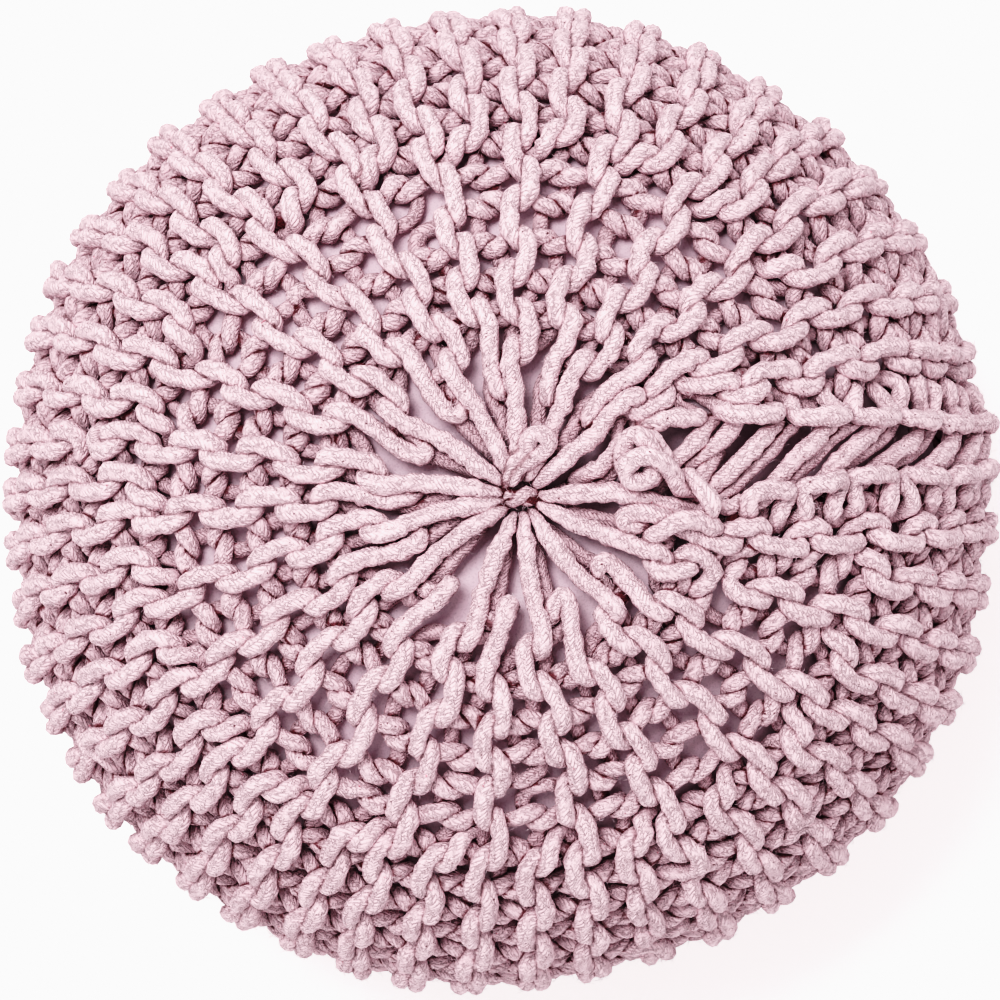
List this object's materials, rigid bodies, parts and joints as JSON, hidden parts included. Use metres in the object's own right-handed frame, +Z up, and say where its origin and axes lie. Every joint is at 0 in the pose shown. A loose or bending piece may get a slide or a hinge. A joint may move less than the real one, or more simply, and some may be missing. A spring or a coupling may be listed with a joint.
{
  "type": "knitted pouf",
  "caption": "Round floor pouf: a chunky knitted cord cover with radial ridges, gathered at the top over a filled casing, flat underneath.",
  "frame": {"origin": "on the floor, under the middle of the pouf", "axes": "+Z up through the crown; +X towards the side that carries the cover's laced seam; +Y a quarter turn on from it, seen from above against the clock"},
  "size_m": [0.501, 0.5019, 0.3489],
  "materials": {
    "cotton_cord": "soft matt pale pink cotton cord, finely braided, with stray fibres",
    "casing_cloth": "matt mauve plain-weave cotton cloth, lightly wrinkled",
    "drawstring_cord": "the same pale pink cotton cord, pulled tight"
  },
  "bodies": {
    "root": {"knit_cover": "cotton_cord", "inner_casing": "casing_cloth", "top_gather_cord": "drawstring_cord"}
  },
  "joints": []
}
